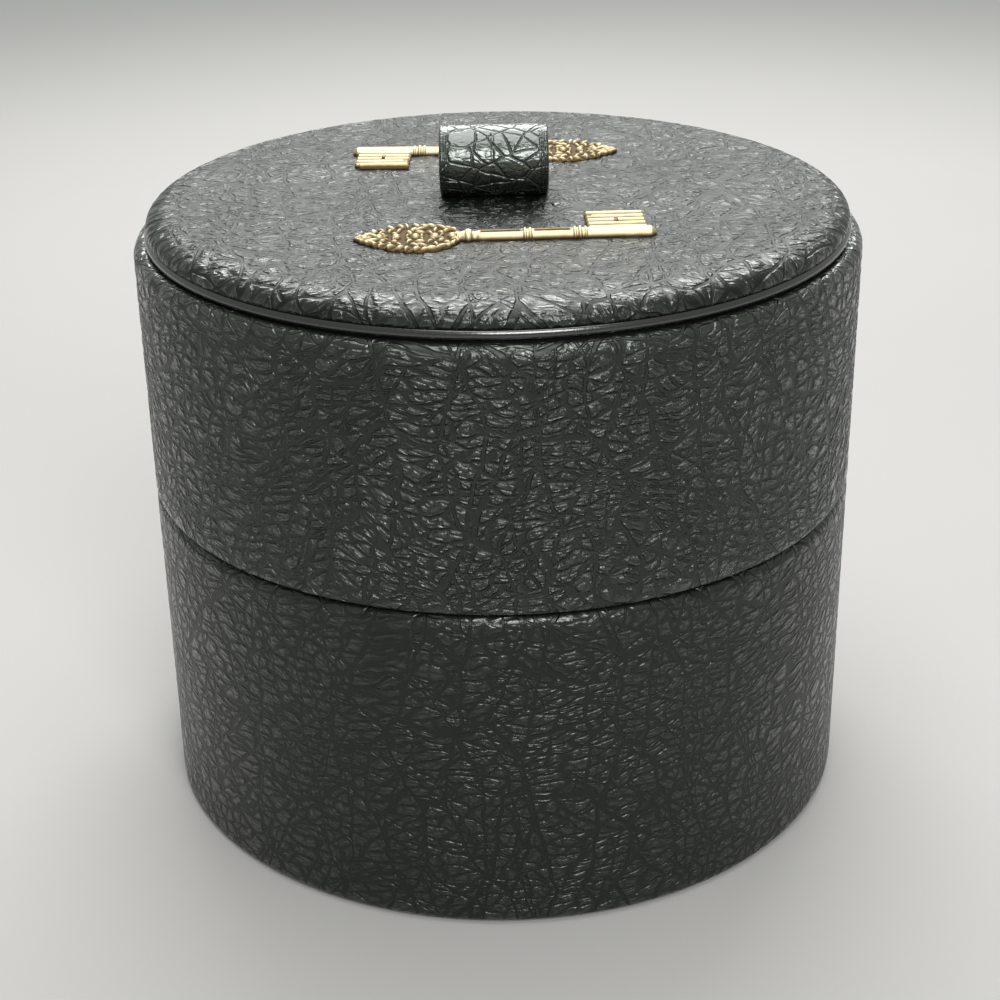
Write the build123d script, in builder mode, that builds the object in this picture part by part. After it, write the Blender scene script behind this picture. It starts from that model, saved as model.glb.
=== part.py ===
from build123d import *
from math import cos, radians, sin
import os

# A round collar box of pasteboard covered in grained leather. A lower tier stands on
# the table, an upper tier drops over its neck, and a padded lid drops into the upper
# tier. The lid has a rolled leather flange, a leather pull loop and two brass keys.
# Millimetres, +Z up. The origin is the middle of the base, on the table.

# Driving dimensions of the drum
body_radius = 82.5
lower_rim = 76.8
upper_height = 58.1
tier_gap = 0.3
lid_gap = 0.3

# Board and leather
leather = 1.0
pared_leather = 0.6
turned_leather = 0.5
wall_board = 2.6
base_board = 3.0
glue_line = 0.05
slip_clearance = 0.3

# Rounded edges of the tiers
rim_round = 2.7
rim_inner_round = 1.1
foot_round = 1.6
seam_round = 1.3
turn_in_depth = 12.0
foot_turn_width = 13.0

# Base and linings
base_paper = 0.6
base_paper_margin = 5.5
lining = 1.5
pad_height = 3.5
pad_shoulder_run = 9.0
pad_shoulder_drop = 2.4
pad_side_clearance = 0.3

# Neck of the lower tier and the recess above it in the upper tier
neck_board = 1.6
neck_rise = 7.5
neck_edge_round = 0.6
neck_headroom = 1.0

# Lid flange and plug
flange_setback = 2.7
flange_height = 2.4
flange_nose = 1.15
flange_turn_margin = 1.5
flange_board = 1.2
plug_board = 2.5
plug_depth = 8.0
plug_lead = 0.7
lid_pad_height = 2.6
lid_pad_shoulder_run = 9.0
lid_pad_shoulder_drop = 1.8

# Padded lid top
cover_setback = 0.4
cover_rise = 4.7
shoulder_run = 7.0
shoulder_drop = 3.8
quarter_turn = 90.0
cover_turn_width = 11.0
pad_board = 1.5
pad_board_inset = 2.2

# Pull loop: a strap rolled into a barrel, its two legs going down through a slit
loop_radius = 8.0
strap = 2.2
strap_width = 24.4
strap_edge_round = 0.5
loop_sink = 0.7
leg = 1.0
tail_length = 15.0
tail = 1.0
slit_clearance = 0.3

# Place of the fittings on the lid, a little off its middle as on the real box
fittings_x = -0.6
fittings_y = -2.0
key_spread = 33.8
key_shift = 2.2
key_turn = 2.0

# One key, measured along its stem from the tip of the bow
key_length = 64.0
bow_length = 22.6
bow_width = 18.3
bow_height = 1.5
bow_web_height = 1.1
bow_rim = 1.5
bow_tip_radius = 1.2
bow_side_hole = 1.3
bow_middle_hole = 1.0
stem_radius = 1.35
stem_end_round = 0.8
bead_length = 1.6
bead_radius = 1.7
bead_overlap = 0.5
neck_length = 1.9
neck_radius = 1.0
panel_radius = 1.2
first_panel_length = 9.3
second_panel_length = 8.4
collar_length = 0.8
collar_step = 0.3
collar_radius = 1.65
panel_slot_width = 0.9
panel_slot_depth = 0.3
panel_slot_margin = 0.8
bit_length = 12.7
bit_reach = 14.0
bit_height = 1.1
bit_end_margin = 1.5
bit_groove_width = 0.5
bit_groove_depth = 0.35
bit_notch_width = 0.9
bit_notch_depth = 1.3
bit_cross_reach = 6.6
bit_cross_arm = 1.9
bit_cross_bar = 0.8
peg_radius = 0.6
peg_clearance = 0.1

# Ward notches and grooves of the bit, as shares of its reach from the stem's axis
bit_notch_shares = [0.46, 0.74]
bit_groove_shares = [0.24, 0.37, 0.6, 0.86]

# Shape and piercings of the bow, as shares of its length from the tip and half width
bow_widest_share = 0.6
bow_tip_shares = (0.28, 0.5)
bow_belly_share = 0.4
side_hole_shares = [(0.42, 0.42), (0.59, 0.5), (0.745, 0.4)]
middle_hole_shares = [0.23, 0.4, 0.58, 0.75]
bow_peg_share = 0.11

# Radii that follow from the board and leather
wall_outer = body_radius - leather - glue_line
wall_inner = wall_outer - wall_board
turned_inner = wall_inner - glue_line - turned_leather
rim_board_round = max(rim_round - leather, 0)
foot_board_round = max(foot_round - leather, 0)
seam_board_round = max(seam_round - leather, 0)
neck_outer = turned_inner - slip_clearance
neck_inner = neck_outer - neck_board
lining_outer = wall_inner - glue_line
lining_inner = lining_outer - lining
pad_radius = lining_inner - pad_side_clearance

# Heights of the lower tier
foot_bottom = base_paper
board_bottom = foot_bottom + pared_leather + glue_line
base_top = board_bottom + base_board
lower_turn_end = lower_rim - turn_in_depth
neck_top = lower_rim + neck_rise

# Heights of the upper tier
upper_bottom = lower_rim + tier_gap
upper_rim = upper_bottom + upper_height
recess_top = neck_top + neck_headroom
upper_floor_bottom = recess_top + pared_leather + glue_line
upper_floor_top = upper_floor_bottom + base_board
upper_turn_end = upper_rim - turn_in_depth

# Heights and radii of the lid
flange_bottom = upper_rim + lid_gap
flange_top = flange_bottom + flange_height
lid_board_bottom = flange_bottom + (flange_height - flange_board) / 2
lid_board_top = lid_board_bottom + flange_board
plug_outer = turned_inner - slip_clearance
plug_inner = plug_outer - plug_board
flange_radius = body_radius - flange_setback
flange_slot = flange_radius - pared_leather * 2
flange_inner = plug_inner - flange_turn_margin
cover_radius = flange_radius - cover_setback
lid_top = flange_top + cover_rise
cover_turn_top = flange_top + pared_leather
pad_board_bottom = cover_turn_top + glue_line
pad_board_top = pad_board_bottom + pad_board
pad_board_radius = cover_radius - pad_board_inset
wadding_radius = cover_radius - leather - glue_line
wadding_top = lid_top - leather - glue_line

# Heights of the pull loop
loop_centre = lid_top + glue_line + loop_radius - loop_sink
tail_bottom = lid_board_top + glue_line
slit_length = strap_width + slit_clearance * 2
slit_width = (leg + slit_clearance) * 2

# Places along one key, from its middle
bow_end = bow_length - key_length / 2
stem_end = key_length / 2
bit_centre = stem_end - bit_end_margin - bit_length / 2
key_seat = lid_top + glue_line
peg_depth = key_seat - pad_board_bottom
bow_tip = -key_length / 2
key_pegs = [bow_tip + bow_length * bow_peg_share, bit_centre]


def key_plane(side):
    """Plane of one key on the lid: side -1 is the front key, +1 the rear one."""
    turn = radians(key_turn)
    return Plane(
        origin=(fittings_x - side * key_shift, fittings_y + side * key_spread, key_seat),
        x_dir=(-side * cos(turn), sin(turn), 0),
        z_dir=(0, 0, 1),
    )


def ring_section(inner, outer, low, high, rounds=(0, 0, 0, 0), mode=Mode.ADD):
    """Half section of a ring. Rounds go inner low, outer low, outer high, inner high."""
    with BuildLine() as outline:
        FilletPolyline(
            (inner, low), (outer, low), (outer, high), (inner, high), radius=rounds, close=True
        )
    make_face(outline.edges(), mode=mode)


def dome_section(reach, low, top, run, drop, mode=Mode.ADD):
    """Half section of a disc whose upper edge falls away in a soft quarter ellipse."""
    with BuildLine() as outline:
        Polyline((0, top), (0, low), (reach, low), (reach, top - drop))
        EllipticalCenterArc((reach - run, top - drop), run, drop, 0, arc_size=quarter_turn)
        Line((reach - run, top), (0, top))
    make_face(outline.edges(), mode=mode)


def bow_section(inset, mode=Mode.ADD):
    """Outline of a key's bow: a leaf with a pointed tip and a round base, drawn in by inset."""
    length = bow_length - inset * 2
    half = bow_width / 2 - inset
    tip = bow_tip + inset
    widest = tip + length * bow_widest_share
    with BuildLine() as outline:
        Bezier(
            (tip, 0),
            (tip + length * bow_tip_shares[0], half * bow_tip_shares[1]),
            (tip + length * bow_belly_share, half),
            (widest, half),
        )
        EllipticalCenterArc(
            (widest, 0), tip + length - widest, half, 0, arc_size=quarter_turn
        )
        mirror(about=Plane.XZ)
    make_face(outline.edges(), mode=mode)


def write(piece, name):
    """Label a finished piece and write it as its own file."""
    piece.part.label = name
    export_step(piece.part, f"parts/{name}.step")


os.makedirs("parts", exist_ok=True)

# Lower tier: a board tube and base, covered outside in one skin of leather that is
# turned over the rim and under the base

with BuildPart() as lower_wall:
    with BuildSketch(Plane.XZ):
        ring_section(
            wall_inner,
            wall_outer,
            board_bottom,
            lower_rim - leather - glue_line,
            (0, foot_board_round, rim_board_round, 0),
        )
    revolve(axis=Axis.Z)
write(lower_wall, "lower_wall")

with BuildPart() as lower_base:
    with BuildSketch(Plane.XY.offset(board_bottom)):
        Circle(wall_inner - glue_line)
    extrude(amount=base_board)
write(lower_base, "lower_base")

with BuildPart() as lower_cover:
    with BuildSketch(Plane.XZ):
        ring_section(
            turned_inner,
            body_radius,
            foot_bottom,
            lower_rim,
            (0, foot_round, rim_round, rim_inner_round),
        )
        ring_section(
            body_radius - foot_turn_width,
            body_radius - leather,
            foot_bottom,
            foot_bottom + pared_leather,
        )
        ring_section(
            turned_inner + turned_leather,
            body_radius - leather,
            foot_bottom + pared_leather,
            lower_rim - leather,
            (0, foot_board_round, rim_board_round, 0),
            mode=Mode.SUBTRACT,
        )
        ring_section(
            turned_inner,
            wall_inner,
            foot_bottom + pared_leather,
            lower_turn_end,
            mode=Mode.SUBTRACT,
        )
    revolve(axis=Axis.Z)
write(lower_cover, "lower_cover")

with BuildPart() as base_cover:
    with BuildSketch(Plane.XY):
        Circle(body_radius - base_paper_margin)
    extrude(amount=base_paper)
write(base_cover, "base_cover")

with BuildPart() as lower_neck:
    with BuildSketch(Plane.XZ):
        ring_section(
            neck_inner,
            neck_outer,
            lower_turn_end,
            neck_top,
            (0, 0, neck_edge_round, neck_edge_round),
        )
    revolve(axis=Axis.Z)
write(lower_neck, "lower_neck")

with BuildPart() as lower_lining:
    with BuildSketch(Plane.XZ):
        ring_section(
            lining_inner, lining_outer, base_top + glue_line, lower_turn_end - glue_line
        )
    revolve(axis=Axis.Z)
write(lower_lining, "lower_lining")

with BuildPart() as lower_floor_pad:
    with BuildSketch(Plane.XZ):
        dome_section(
            pad_radius,
            base_top + glue_line,
            base_top + pad_height,
            pad_shoulder_run,
            pad_shoulder_drop,
        )
    revolve(axis=Axis.Z)
write(lower_floor_pad, "lower_floor_pad")

# Upper tier: its floor is set up inside the wall, so that the wall drops over the neck

with BuildPart() as upper_wall:
    with BuildSketch(Plane.XZ):
        ring_section(
            wall_inner,
            wall_outer,
            upper_bottom + leather + glue_line,
            upper_rim - leather - glue_line,
            (0, seam_board_round, rim_board_round, 0),
        )
    revolve(axis=Axis.Z)
write(upper_wall, "upper_wall")

with BuildPart() as upper_floor:
    with BuildSketch(Plane.XY.offset(upper_floor_bottom)):
        Circle(wall_inner - glue_line)
    extrude(amount=base_board)
write(upper_floor, "upper_floor")

with BuildPart() as upper_underside:
    with BuildSketch(Plane.XY.offset(recess_top)):
        Circle(wall_inner - glue_line)
    extrude(amount=pared_leather)
write(upper_underside, "upper_underside")

with BuildPart() as upper_cover:
    with BuildSketch(Plane.XZ):
        ring_section(
            turned_inner,
            body_radius,
            upper_bottom,
            upper_rim,
            (rim_inner_round, seam_round, rim_round, rim_inner_round),
        )
        ring_section(
            turned_inner + turned_leather,
            body_radius - leather,
            upper_bottom + leather,
            upper_rim - leather,
            (0, seam_board_round, rim_board_round, 0),
            mode=Mode.SUBTRACT,
        )
        ring_section(
            turned_inner,
            wall_inner,
            recess_top - glue_line,
            upper_turn_end,
            mode=Mode.SUBTRACT,
        )
    revolve(axis=Axis.Z)
write(upper_cover, "upper_cover")

with BuildPart() as upper_lining:
    with BuildSketch(Plane.XZ):
        ring_section(
            lining_inner, lining_outer, upper_floor_top + glue_line, upper_turn_end - glue_line
        )
    revolve(axis=Axis.Z)
write(upper_lining, "upper_lining")

with BuildPart() as upper_floor_pad:
    with BuildSketch(Plane.XZ):
        dome_section(
            pad_radius,
            upper_floor_top + glue_line,
            upper_floor_top + pad_height,
            pad_shoulder_run,
            pad_shoulder_drop,
        )
    revolve(axis=Axis.Z)
write(upper_floor_pad, "upper_floor_pad")

# Lid: a thin board whose edge is bound in smooth rolled leather, with a ring below that
# plugs the upper tier

with BuildPart() as lid_board:
    with BuildSketch(Plane.XY.offset(lid_board_bottom)):
        Circle(flange_slot - glue_line)
    extrude(amount=flange_board)
write(lid_board, "lid_board")

with BuildPart() as lid_flange:
    with BuildSketch(Plane.XZ):
        ring_section(
            flange_inner,
            flange_radius,
            flange_bottom,
            flange_top,
            (0, flange_nose, flange_nose, 0),
        )
        ring_section(
            flange_inner, flange_slot, lid_board_bottom, lid_board_top, mode=Mode.SUBTRACT
        )
    revolve(axis=Axis.Z)
write(lid_flange, "lid_flange")

with BuildPart() as lid_plug:
    with BuildSketch(Plane.XZ):
        ring_section(
            plug_inner,
            plug_outer,
            flange_bottom - plug_depth,
            flange_bottom - glue_line,
            (plug_lead, plug_lead, 0, 0),
        )
    revolve(axis=Axis.Z)
write(lid_plug, "lid_plug")

with BuildPart() as lid_lining:
    with BuildSketch(Plane.XZ):
        with BuildLine():
            hang = lid_board_bottom - glue_line
            reach = flange_inner - glue_line
            face = hang - lid_pad_height
            Polyline((0, face), (0, hang), (reach, hang), (reach, face + lid_pad_shoulder_drop))
            EllipticalCenterArc(
                (reach - lid_pad_shoulder_run, face + lid_pad_shoulder_drop),
                lid_pad_shoulder_run,
                lid_pad_shoulder_drop,
                0,
                arc_size=-quarter_turn,
            )
            Line((reach - lid_pad_shoulder_run, face), (0, face))
        make_face()
    revolve(axis=Axis.Z)
write(lid_lining, "lid_lining")

# Padded top of the lid: card and wadding under grained leather, which is turned under
# the card. The pull loop's legs and the keys' pegs go down through all three.

peg_points = [
    tuple(key_plane(side).from_local_coords((place, 0, 0)))
    for side in (-1, 1)
    for place in key_pegs
]

with BuildPart() as pad_card:
    with BuildSketch(Plane.XY.offset(pad_board_bottom)):
        Circle(pad_board_radius)
        with Locations((fittings_x, fittings_y)):
            Rectangle(slit_length, slit_width, mode=Mode.SUBTRACT)
        with Locations(*[(x, y) for x, y, z in peg_points]):
            Circle(peg_radius + peg_clearance, mode=Mode.SUBTRACT)
    extrude(amount=pad_board)
write(pad_card, "pad_card")

with BuildPart() as lid_wadding:
    with BuildSketch(Plane.XZ):
        dome_section(
            wadding_radius,
            pad_board_bottom,
            wadding_top,
            shoulder_run - leather,
            shoulder_drop - leather,
        )
        ring_section(
            0,
            pad_board_radius + glue_line,
            pad_board_bottom,
            pad_board_top + glue_line,
            mode=Mode.SUBTRACT,
        )
    revolve(axis=Axis.Z)
    with BuildSketch(Plane.XY.offset(wadding_top)):
        with Locations((fittings_x, fittings_y)):
            Rectangle(slit_length, slit_width)
        with Locations(*[(x, y) for x, y, z in peg_points]):
            Circle(peg_radius + peg_clearance)
    extrude(amount=pad_board_top - wadding_top, mode=Mode.SUBTRACT)
write(lid_wadding, "lid_wadding")

with BuildPart() as lid_cover:
    with BuildSketch(Plane.XZ):
        dome_section(cover_radius, flange_top + glue_line, lid_top, shoulder_run, shoulder_drop)
        dome_section(
            cover_radius - leather,
            cover_turn_top,
            lid_top - leather,
            shoulder_run - leather,
            shoulder_drop - leather,
            mode=Mode.SUBTRACT,
        )
        ring_section(
            0,
            cover_radius - cover_turn_width,
            flange_top,
            cover_turn_top,
            mode=Mode.SUBTRACT,
        )
    revolve(axis=Axis.Z)
    with BuildSketch(Plane.XY.offset(lid_top)):
        with Locations((fittings_x, fittings_y)):
            Rectangle(slit_length, slit_width)
        with Locations(*[(x, y) for x, y, z in peg_points]):
            Circle(peg_radius + peg_clearance)
    extrude(amount=-leather - glue_line, mode=Mode.SUBTRACT)
write(lid_cover, "lid_cover")

# Pull loop: the strap's barrel lies on the cover, flattened where it rests, and its
# tails are spread and glued under the card

with BuildPart() as pull_loop:
    with BuildSketch(Plane.YZ.offset(fittings_x)):
        with Locations((fittings_y, loop_centre)):
            Circle(loop_radius)
        with Locations((fittings_y, lid_top + glue_line)):
            Rectangle(
                loop_radius * 2, loop_radius, align=(Align.CENTER, Align.MAX), mode=Mode.SUBTRACT
            )
        with BuildLine():
            Polyline(
                (fittings_y - leg, lid_top + strap),
                (fittings_y - leg, tail_bottom + tail),
                (fittings_y - tail_length, tail_bottom + tail),
                (fittings_y - tail_length, tail_bottom),
                (fittings_y + tail_length, tail_bottom),
                (fittings_y + tail_length, tail_bottom + tail),
                (fittings_y + leg, tail_bottom + tail),
                (fittings_y + leg, lid_top + strap),
                close=True,
            )
        make_face()
        with Locations((fittings_y, loop_centre)):
            Circle(loop_radius - strap, mode=Mode.SUBTRACT)
    extrude(amount=strap_width / 2, both=True)
    barrel_edges = pull_loop.edges().filter_by(GeomType.CIRCLE).filter_by(
        lambda edge: edge.radius > loop_radius - strap / 2
    )
    fillet(barrel_edges, strap_edge_round)
write(pull_loop, "pull_loop")

# Keys: a pierced bow of scrolls, a stem with a bead, panels and collars, and a bit with
# ward notches. The backs are flat and pegs hold them through the leather.

stem_steps = [
    (bead_overlap + bead_length, bead_radius),
    (neck_length, neck_radius),
    (first_panel_length, panel_radius),
    (collar_length, collar_radius),
    (collar_step, panel_radius),
    (collar_length, collar_radius),
    (second_panel_length, panel_radius),
    (collar_length, collar_radius),
    (collar_step, panel_radius),
    (collar_length, collar_radius),
]
first_panel_centre = bow_end + bead_length + neck_length + first_panel_length / 2
second_panel_centre = (
    first_panel_centre
    + (first_panel_length + second_panel_length) / 2
    + collar_length * 2
    + collar_step
)
panels = [
    (first_panel_centre, first_panel_length),
    (second_panel_centre, second_panel_length),
]

for key_name, side in (("front_key", -1), ("rear_key", 1)):
    seat = key_plane(side)
    with BuildPart(seat) as key:
        # Stem, turned as a whole round and cut flat at the back
        with BuildSketch(seat):
            with BuildLine():
                place = bow_end - bead_overlap
                outline = [(place, 0)]
                for step_length, step_radius in stem_steps:
                    outline.append((place, step_radius))
                    place += step_length
                    outline.append((place, step_radius))
                outline.append((place, stem_radius))
                FilletPolyline(
                    *outline,
                    (stem_end, stem_radius),
                    (stem_end, 0),
                    radius=[0] * len(outline) + [stem_end_round, 0],
                    close=True,
                )
            make_face()
        revolve(axis=Axis(seat.origin, seat.x_dir))
        split(bisect_by=seat, keep=Keep.TOP)
        # Sunk panels between the collars
        for panel_centre, panel_length in panels:
            with BuildSketch(seat.offset(panel_radius)):
                with Locations((panel_centre, 0)):
                    SlotOverall(panel_length - panel_slot_margin * 2, panel_slot_width)
            extrude(amount=-panel_slot_depth, mode=Mode.SUBTRACT)
        # Bow: a leaf with a raised rim, pierced right through
        with BuildSketch(seat):
            bow_section(0)
            with Locations((bow_tip + bow_tip_radius, 0)):
                Circle(bow_tip_radius)
        extrude(amount=bow_height)
        with BuildSketch(seat.offset(bow_height)):
            bow_section(bow_rim)
        extrude(amount=bow_web_height - bow_height, mode=Mode.SUBTRACT)
        with BuildSketch(seat):
            for along, across in side_hole_shares:
                place = bow_tip + bow_length * along
                with Locations(
                    (place, bow_width / 2 * across), (place, -bow_width / 2 * across)
                ):
                    Circle(bow_side_hole)
            with Locations(*[(bow_tip + bow_length * along, 0) for along in middle_hole_shares]):
                Circle(bow_middle_hole)
        extrude(amount=bow_height, mode=Mode.SUBTRACT)
        # Bit with ward notches, a cross-shaped piercing and grooves along it
        with BuildSketch(seat):
            with Locations((bit_centre, bit_reach / 2)):
                Rectangle(bit_length, bit_reach)
            for notch in bit_notch_shares:
                with Locations((bit_centre - bit_length / 2, bit_reach * notch)):
                    Rectangle(bit_notch_depth * 2, bit_notch_width, mode=Mode.SUBTRACT)
            with Locations((bit_centre, bit_cross_reach)):
                Rectangle(bit_cross_arm, bit_cross_bar, mode=Mode.SUBTRACT)
                Rectangle(bit_cross_bar, bit_cross_arm, mode=Mode.SUBTRACT)
        extrude(amount=bit_height)
        with BuildSketch(seat.offset(bit_height)):
            for groove in bit_groove_shares:
                with Locations((bit_centre, bit_reach * groove)):
                    Rectangle(bit_length, bit_groove_width)
        extrude(amount=-bit_groove_depth, mode=Mode.SUBTRACT)
        # Pegs down through the leather, wadding and card
        with BuildSketch(seat):
            with Locations(*[(place_along, 0) for place_along in key_pegs]):
                Circle(peg_radius)
        extrude(amount=-peg_depth)
    write(key, key_name)
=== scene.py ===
from math import radians, tau

import bpy
import numpy as np
from mathutils import Euler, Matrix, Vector


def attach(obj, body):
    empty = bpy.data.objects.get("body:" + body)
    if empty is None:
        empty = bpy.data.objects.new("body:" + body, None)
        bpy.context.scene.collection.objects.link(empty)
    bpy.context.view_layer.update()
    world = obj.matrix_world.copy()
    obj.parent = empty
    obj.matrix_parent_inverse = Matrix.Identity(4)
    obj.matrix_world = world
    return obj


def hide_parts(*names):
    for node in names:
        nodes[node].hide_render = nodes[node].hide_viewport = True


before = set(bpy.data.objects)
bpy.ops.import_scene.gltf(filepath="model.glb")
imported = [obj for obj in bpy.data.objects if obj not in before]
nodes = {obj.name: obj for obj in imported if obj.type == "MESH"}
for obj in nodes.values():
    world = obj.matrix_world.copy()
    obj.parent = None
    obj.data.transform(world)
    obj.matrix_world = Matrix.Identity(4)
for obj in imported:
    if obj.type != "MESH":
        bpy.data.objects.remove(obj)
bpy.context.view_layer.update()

# Camera
# A long lens on a stand in front of the box, a little above the lid and looking down.
# Its place, turn and focal length were solved from the rims of the lid and tiers.

camera = bpy.data.objects.new("camera", bpy.data.cameras.new("camera"))
bpy.context.scene.collection.objects.link(camera)
camera.data.lens = 68.85
camera.data.sensor_width = 36.0
camera.data.clip_start = 0.01
camera.location = (0.0, -0.423279, 0.264448)
camera.rotation_euler = Euler((radians(64.7112), radians(0.9068), radians(-0.3523)))
bpy.context.scene.camera = camera
bpy.context.scene.view_settings.view_transform = "Standard"


# Floor, backdrop and lights
# A matt pale table top under a white tent. Soft panels stand behind and above the box,
# over it, and in front at the right, as the light from a room's windows would fall.

def linear(colour):
    """Turns an sRGB hex colour into linear light, with an alpha of one."""
    parts = np.array([int(colour[i:i + 2], 16) for i in (1, 3, 5)]) / 255
    light = np.where(parts <= 0.04045, parts / 12.92, ((parts + 0.055) / 1.055) ** 2.4)
    return (*light.tolist(), 1.0)


def add(tree, kind, feeds=None, **settings):
    """Adds one node with its own settings. feeds gives each input, by name or number, a
    plain value, the output socket that feeds it, or the node whose first output does."""
    made = tree.nodes.new("ShaderNode" + kind)
    for name, value in settings.items():
        setattr(made, name, value)
    for name, value in (feeds or {}).items():
        if isinstance(value, bpy.types.Node):
            value = value.outputs[0]
        if isinstance(value, bpy.types.NodeSocket):
            tree.links.new(value, made.inputs[name])
        else:
            made.inputs[name].default_value = value
    return made


def new_material(name):
    """An empty material and its node tree."""
    material = bpy.data.materials.new(name)
    material.use_nodes = True
    material.node_tree.nodes.clear()
    return material, material.node_tree


def finish_material(tree, **feeds):
    """Ends a material in one Principled surface. feeds are its inputs, with _ for a space."""
    inputs = {name.replace("_", " "): value for name, value in feeds.items()}
    surface = add(tree, "BsdfPrincipled", inputs)
    add(tree, "OutputMaterial", {"Surface": surface})


def toned_finish(tree, tone, dark, light, height, strength, depth, **feeds):
    """Ends a material whose colour runs from dark to light as tone does, and whose surface
    rises with height by up to depth, in metres, made fainter by strength."""
    colour = add(tree, "Mix", {"Factor": tone, 6: linear(dark), 7: linear(light)}, data_type="RGBA")
    bump = add(tree, "Bump", {"Height": height, "Strength": strength, "Distance": depth})
    finish_material(tree, Base_Color=colour.outputs[2], Normal=bump, **feeds)


def seen_rays(tree):
    """One for rays from the camera and for those that gloss or glass sends on."""
    ray = add(tree, "LightPath").outputs
    mirrored = add(
        tree, "Math", {0: ray["Is Glossy Ray"], 1: ray["Is Transmission Ray"]}, operation="MAXIMUM"
    )
    return add(tree, "Math", {0: ray["Is Camera Ray"], 1: mirrored}, operation="MAXIMUM")


table_reach = 3.0
backdrop_tone = "#a8aaa6"
fade_start, fade_end = 0.5, 1.3

corners = [(-1, -1), (1, -1), (1, 1), (-1, 1)]
table_mesh = bpy.data.meshes.new("table_top")
table_mesh.from_pydata(
    [(x * table_reach, y * table_reach, 0.0) for x, y in corners], [], [(0, 1, 2, 3)]
)
table_top = bpy.data.objects.new("table_top", table_mesh)
bpy.context.scene.collection.objects.link(table_top)

# Matt paint, which half a metre from the box starts to fade into the backdrop's tone
table_paint, tree = new_material("matt_table_paint")
place = add(tree, "TexCoord").outputs["Object"]
mottle = add(tree, "TexNoise", {"Vector": place, "Scale": 6.0, "Detail": 3.0})
shade = add(
    tree, "Mix", {"Factor": mottle, 6: linear("#b9b8b5"), 7: linear("#bfbebb")}, data_type="RGBA"
)
paint = add(tree, "BsdfPrincipled", {"Base Color": shade.outputs[2], "Roughness": 0.85})
away = add(tree, "VectorMath", {0: place}, operation="LENGTH")
span = {"Value": away.outputs["Value"], "From Min": fade_start, "From Max": fade_end}
far = add(tree, "MapRange", span, interpolation_type="SMOOTHSTEP")
fade = add(tree, "Math", {0: far, 1: seen_rays(tree)}, operation="MULTIPLY")
haze = add(tree, "Emission", {"Color": linear(backdrop_tone), "Strength": 1.0})
blend = add(tree, "MixShader", {0: fade, 1: paint, 2: haze})
add(tree, "OutputMaterial", {"Surface": blend})
table_mesh.materials.append(table_paint)

world = bpy.data.worlds.new("white_tent")
bpy.context.scene.world = world
world.use_nodes = True
tree = world.node_tree
tree.nodes.clear()
tent = add(tree, "Background", {"Color": linear("#f2f3f5"), "Strength": 0.1})
wall = add(tree, "Background", {"Color": linear(backdrop_tone), "Strength": 1.0})
seen = add(tree, "MixShader", {0: seen_rays(tree), 1: tent, 2: wall})
add(tree, "OutputWorld", {"Surface": seen})

# Each panel's bearing round the box from the front, its height above the floor's plane
# in degrees (over 90 is behind), its distance, width, length and power in watts
panels = [
    ("window_panel", -3, 138, 1.13, 1.0, 0.55, 9.6),
    ("ceiling_panel", 12, 94, 0.9, 0.5, 0.8, 5.2),
    ("front_panel", 10, 41, 1.2, 0.5, 0.5, 9.0),
]
for name, bearing, rise, distance, width, length, power in panels:
    lamp = bpy.data.lights.new(name, "AREA")
    lamp.shape = "RECTANGLE"
    lamp.size, lamp.size_y, lamp.energy = width, length, power
    panel = bpy.data.objects.new(name, lamp)
    bpy.context.scene.collection.objects.link(panel)
    turn = Euler((radians(90 - rise), 0.0, radians(bearing)))
    panel.location = turn.to_matrix() @ Vector((0.0, 0.0, distance))
    panel.rotation_euler = turn


# Boards
# Grey pasteboard makes the tubes, floors and lid. It is cut or rolled from thick sheet
# and shows only where a tier is opened and looked at from the edge.

def dress(name, finish):
    """Gives a CAD node its finish in place of the plain one."""
    nodes[name].data.materials.clear()
    nodes[name].data.materials.append(finish)


# Pulp mottle a few millimetres wide and short fibres, dull all over
pasteboard, tree = new_material("grey_pasteboard")
place = add(tree, "TexCoord").outputs["Object"]
pulp = add(tree, "TexNoise", {"Vector": place, "Scale": 260.0, "Detail": 4.0})
fibre = add(tree, "TexNoise", {"Vector": place, "Scale": 1900.0, "Detail": 2.0})
toned_finish(tree, pulp, "#8b8273", "#a39a8a", fibre, strength=0.4, depth=0.00015, Roughness=0.9)
for name in ("lower_wall", "lower_base", "upper_wall", "upper_floor", "lid_board", "pad_card"):
    dress(name, pasteboard)


# Leather covers of the two tiers
# Black calf, rolled with a creased grain of small plates between furrows, pasted round
# each board tube, turned over the rims and skived to a lapped joint at the back.

# Sizes in millimetres, heights above the table
body_radius = 82.5
turned_inner = 78.3
lower_rim = 76.8
upper_bottom, upper_rim = 77.1, 135.2
foot_height, foot_turn = 0.6, 13.0
recess_top = 85.25
skin = 1.0
foot_skin = 0.6
turned_edge = 0.5
turn_depth = 12.0
lap_step, lap_width = 0.35, 10.0

# Each net of furrows: width and height of its plates in millimetres, turn of the net in
# degrees, then the share of a plate from its border that the flat furrow takes up, and
# the share that its shoulder takes. Where nets cross, the lowest holds.
hide_nets = [
    (6.0, 2.4, 5.0, 0.035, 0.17),
    (8.5, 18.0, 3.0, 0.026, 0.03),
    (13.0, 18.0, 58.0, 0.006, 0.018),
    (15.0, 22.0, -54.0, 0.006, 0.016),
]
wrinkle_net = (2.4, 1.0, -4.0, 0.0, 0.4)
net_shift = (37.3, 11.9)

# Depth of the furrows in the upper cover's finish, in its mesh, and in the flatter lower
# cover, in millimetres. The mesh takes a share of it, which fades out near the rims.
upper_depth, upper_mesh_depth, lower_depth = 0.52, 0.5, 0.28
mesh_relief = 0.35
edge_ease = 5.0
shoulder_ease = 1.5

# Painted shadow, near black, at the bottom of the wrinkles; roughness and share of the polish
# in the furrows, and the height share from which a plate is fully polished
wrinkle_shadow = "#010201"
furrow_rough, furrow_wax = 0.46, 0.2
polished = 0.8

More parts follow.
